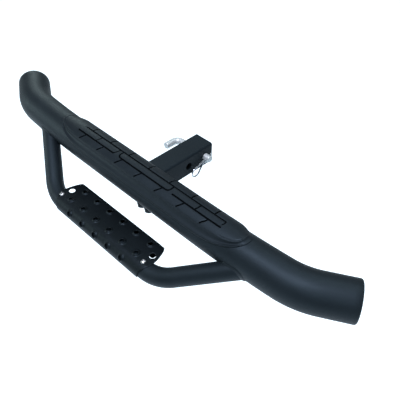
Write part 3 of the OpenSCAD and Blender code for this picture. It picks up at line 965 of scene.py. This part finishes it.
# ------------------------------------------------------------------ clip
RING = 11.0
rc = np.array([38.9, RING])
hug = PIN_R + WIRE_R + 0.36
ha, pb = 130.0, 5.0
pc = np.array([hug * math.sin(rad(ha)) + pb * math.sin(rad(ha)), -hug * math.cos(rad(ha)) - pb * math.cos(rad(ha))])
cd = float(np.linalg.norm(rc - pc))
ca = math.degrees(math.atan2(pc[1] - rc[1], pc[0] - rc[0]))
le = (ca + 360 if ca < 0 else ca) + math.degrees(math.asin((RING + pb) / cd))
q = [(-14 + k, 0) for k in np.linspace(0, 14 + rc[0], 20)[:-1]]
for a in np.linspace(0, le, 60):
    q.append((rc[0] + RING * math.sin(rad(a)), rc[1] - RING * math.cos(rad(a))))
e0 = np.array(q[-1])
e1 = pc + pb * np.array([-math.sin(rad(le)), math.cos(rad(le))])
q += [tuple(e0 + (e1 - e0) * k) for k in np.linspace(0, 1, 12)[1:-1]]
for a in np.linspace(le, ha, 22):
    q.append((pc[0] - pb * math.sin(rad(a)), pc[1] + pb * math.cos(rad(a))))
for a in np.linspace(ha, 180, 14)[1:]:
    q.append((hug * math.sin(rad(a)), -hug * math.cos(rad(a))))
for a in np.linspace(180, 158, 8)[1:]:
    q.append((-9 * math.sin(rad(a)), hug + 9 + 9 * math.cos(rad(a))))
last, hd = np.array(q[-1]), np.array([math.cos(rad(158)), math.sin(rad(158))])
q += [tuple(last + hd * k) for k in (2.3, 4.6, 7.0)]
ca17, sa17 = math.cos(rad(17)), math.sin(rad(17))
P = [(31.0, 50 - u_ * ca17 + w_ * sa17, -u_ * sa17 - w_ * ca17) for u_, w_ in q]
sweep("pin_clip_wire", P, np.array([1.0, 0, 0]), WIRE_R, 28, "clip", M_ZINC, ("pin_clip",), 50,
      tips=((0.0, 1.0), (0.15, 1.4), (0.5, 1.72)))

# ------------------------------------------------------------------ studio
AZ, EL, ROLL, DIST, FPX = 43.38, 42.77, 1.51, 974.66, 500.15
TGT = np.array([128.82, 45.90 + TY, TZ])
a, e, ro = rad(AZ), rad(EL), rad(ROLL)
vd = np.array([-math.sin(a) * math.cos(e), math.cos(a) * math.cos(e), -math.sin(e)])
rv = np.array([math.cos(a), math.sin(a), 0])
uv = np.cross(rv, vd)
r2 = math.cos(ro) * rv + math.sin(ro) * uv
u2 = -math.sin(ro) * rv + math.cos(ro) * uv
pos = (TGT - vd * DIST) * 0.001
cam_data = bpy.data.cameras.new("camera")
cam_data.sensor_width = 36
cam_data.lens = FPX / 400 * 36
cam_data.clip_start, cam_data.clip_end = 0.01, 60
cam = bpy.data.objects.new("camera", cam_data)
bpy.context.scene.collection.objects.link(cam)
m4 = Matrix.Identity(4)
for k in range(3):
    m4[k][0], m4[k][1], m4[k][2], m4[k][3] = float(r2[k]), float(u2[k]), float(-vd[k]), float(pos[k])
cam.matrix_world = m4
bpy.context.scene.camera = cam

FLOOR_Z = -0.75
fm, nt, bsdf, vec = node_mat("floor")
fl = noise(nt, vec, 3, 2)
pale = ramp(nt, fl, [(0.3, (0.79, 0.89, 0.95)), (0.7, (0.81, 0.91, 0.97))])
nt.links.new(pale, bsdf.inputs["Base Color"])
nt.links.new(pale, bsdf.inputs["Emission Color"])
# the floor glows less in reflections than to the camera, so undersides stay dark
seen = nt.nodes.new("ShaderNodeLightPath")
glow = nt.nodes.new("ShaderNodeMapRange")
glow.inputs["To Min"].default_value = 0.30
glow.inputs["To Max"].default_value = 0.95
nt.links.new(seen.outputs["Is Camera Ray"], glow.inputs["Value"])
nt.links.new(glow.outputs["Result"], bsdf.inputs["Emission Strength"])
bsdf.inputs["Roughness"].default_value = 0.9
bsdf.inputs["Specular IOR Level"].default_value = 0.1
me = bpy.data.meshes.new("floor")
S = 14.0
me.from_pydata([(-S, -S, FLOOR_Z), (S, -S, FLOOR_Z), (S, S, FLOOR_Z), (-S, S, FLOOR_Z)], [], [(0, 1, 2, 3)])
me.materials.append(fm)
floor = bpy.data.objects.new("floor", me)
bpy.context.scene.collection.objects.link(floor)


def softbox(name, loc, target, size, power, color=(1, 1, 1)):
    d = bpy.data.lights.new(name, "AREA")
    d.shape = "RECTANGLE"
    d.size, d.size_y = size
    d.energy = power
    d.color = color
    o = bpy.data.objects.new(name, d)
    bpy.context.scene.collection.objects.link(o)
    o.location = loc
    o.rotation_mode = "QUATERNION"
    o.rotation_quaternion = (Vector(target) - Vector(loc)).to_track_quat("-Z", "Y")
    return o


# main soft light from the upper left, in front; a weaker one above and behind
softbox("key", (0.12, -0.85, 2.15), (0.2, -0.12, 0.0), (0.7, 0.6), 50, (0.88, 0.85, 1.0))
softbox("side", (1.3, -1.4, 1.3), (0.4, -0.1, 0.0), (0.6, 0.5), 7, (0.80, 0.86, 1.0))
softbox("back_left", (-1.9, 0.85, 0.85), (-0.4, -0.05, 0.0), (0.9, 0.7), 8, (0.86, 1.0, 0.99))
softbox("left", (-1.8, -1.3, 0.4), (-0.3, -0.1, 0.0), (1.4, 0.7), 10, (0.86, 1.0, 1.0))
softbox("top", (0.2, 1.2, 2.5), (0.0, -0.1, 0.0), (2.0, 1.2), 20, (0.88, 0.96, 1.0))

w = bpy.data.worlds.new("studio")
bpy.context.scene.world = w
w.use_nodes = True
bg = w.node_tree.nodes["Background"]
bg.inputs["Color"].default_value = (0.88, 0.96, 1.0, 1)
bg.inputs["Strength"].default_value = 0.18

vs = bpy.context.scene.view_settings
vs.view_transform = "Standard"
vs.look = "None"
vs.exposure = 0.0
vs.gamma = 1.0
